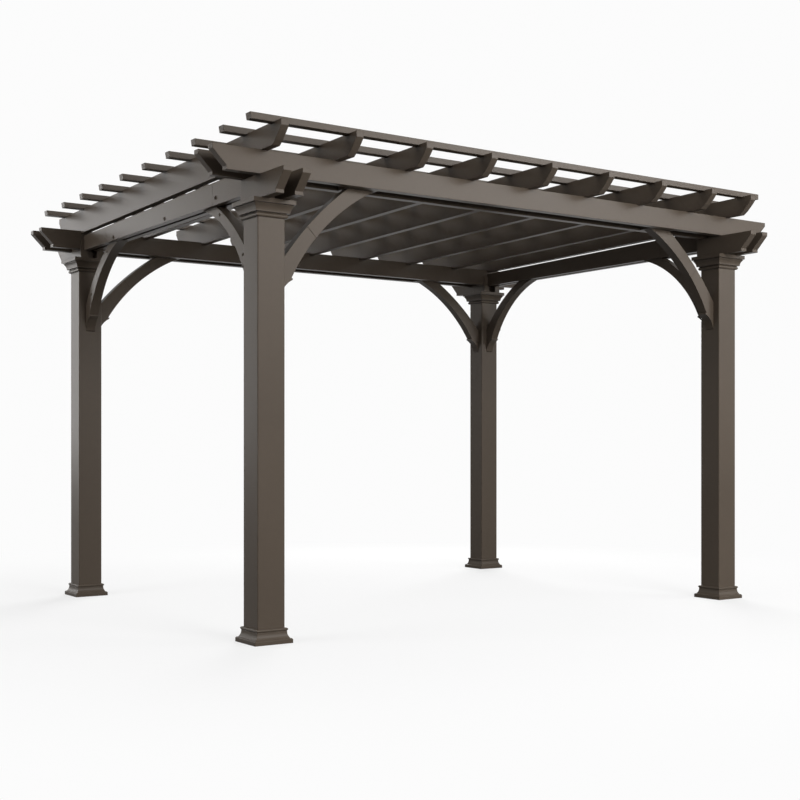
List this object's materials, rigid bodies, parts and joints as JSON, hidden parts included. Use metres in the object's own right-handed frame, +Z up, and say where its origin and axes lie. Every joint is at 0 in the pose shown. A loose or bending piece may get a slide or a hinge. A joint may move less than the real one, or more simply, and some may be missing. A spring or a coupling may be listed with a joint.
{
  "type": "pergola",
  "caption": "Open garden pergola with square trimmed posts, doubled beams with shaped tails, notched rafters, roof slats and curved knee braces.",
  "frame": {"origin": "on the ground at the middle of the plan", "axes": "+X along the long beams to the right seen from the front, +Y to the back, +Z up"},
  "size_m": [3.966, 3.106, 2.5632],
  "materials": {
    "posts": "satin bronze powder coat",
    "trim": "satin bronze powder coat",
    "beams": "satin bronze powder coat",
    "braces": "satin bronze powder coat",
    "rafters": "satin bronze powder coat",
    "slats": "satin bronze powder coat"
  },
  "bodies": {
    "root": {"post_front_left": "posts", "trim_front_left": "trim", "post_front_right": "posts", "trim_front_right": "trim", "post_back_left": "posts", "trim_back_left": "trim", "post_back_right": "posts", "trim_back_right": "trim", "side_board_left_outer": "beams", "side_board_left_inner": "beams", "side_board_right_inner": "beams", "side_board_right_outer": "beams", "front_board_outer": "beams", "front_board_inner": "beams", "back_board_inner": "beams", "back_board_outer": "beams", "brace_front_left_x": "braces", "brace_front_left_y": "braces", "brace_front_right_x": "braces", "brace_front_right_y": "braces", "brace_back_left_x": "braces", "brace_back_left_y": "braces", "brace_back_right_x": "braces", "brace_back_right_y": "braces", "brace_blocks": "braces", "rafter_1": "rafters", "rafter_2": "rafters", "rafter_3": "rafters", "rafter_4": "rafters", "rafter_5": "rafters", "rafter_6": "rafters", "rafter_7": "rafters", "rafter_8": "rafters", "rafter_9": "rafters", "slat_1": "slats", "slat_2": "slats", "slat_3": "slats", "slat_4": "slats", "slat_5": "slats", "slat_6": "slats", "slat_7": "slats", "slat_8": "slats", "slat_9": "slats", "slat_10": "slats"}
  },
  "joints": []
}
